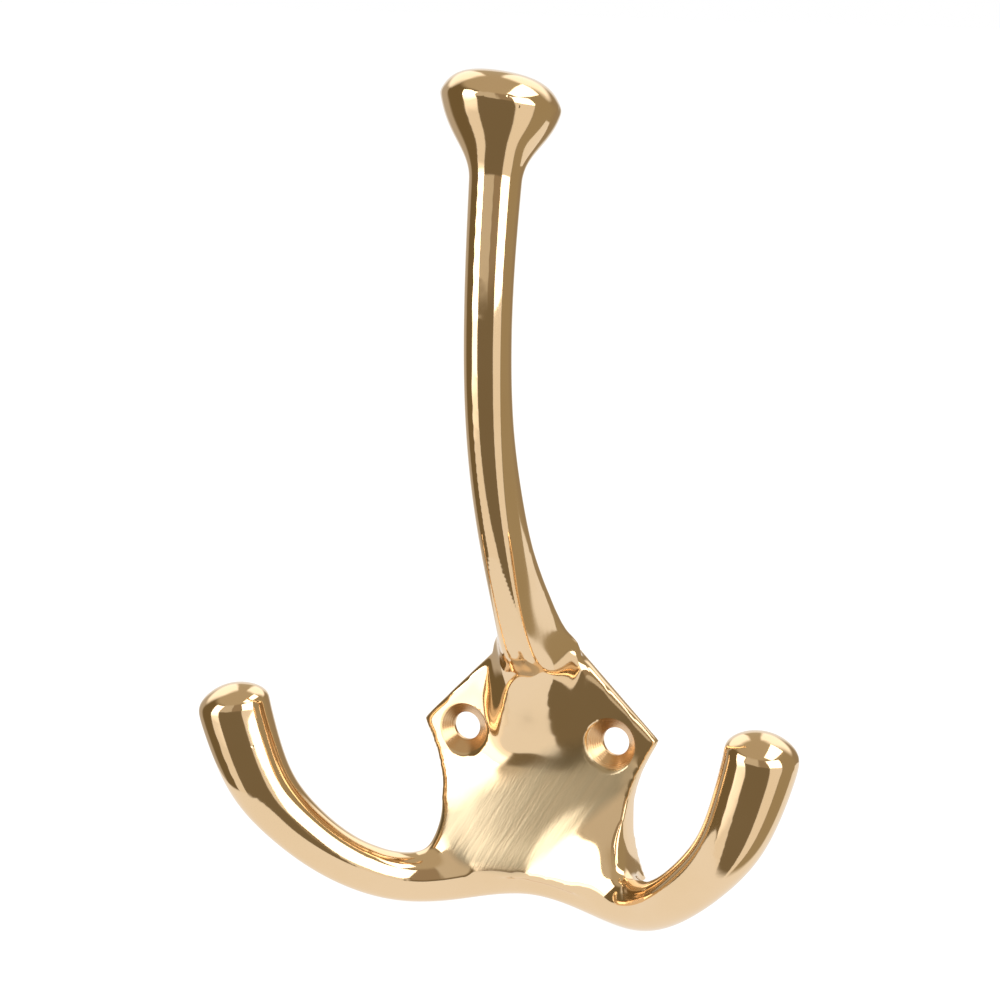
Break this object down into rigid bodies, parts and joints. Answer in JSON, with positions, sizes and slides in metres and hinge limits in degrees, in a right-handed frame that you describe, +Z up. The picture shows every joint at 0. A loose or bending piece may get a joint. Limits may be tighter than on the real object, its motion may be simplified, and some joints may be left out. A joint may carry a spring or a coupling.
{
  "type": "triple wall hook",
  "caption": "One-piece cast brass wall hook: shield-shaped back plate with countersunk screw holes, tall upper arm with a domed knob and upswept lower arms to each side.",
  "frame": {"origin": "on the wall face of the back plate, midway between the screw holes", "axes": "+Z up the wall, -Y out of the wall towards the room, +X to the right as seen from the room"},
  "size_m": [0.1084, 0.0305, 0.146],
  "materials": {
    "brass": "polished"
  },
  "bodies": {
    "root": {"hook_casting": "brass"}
  },
  "joints": []
}
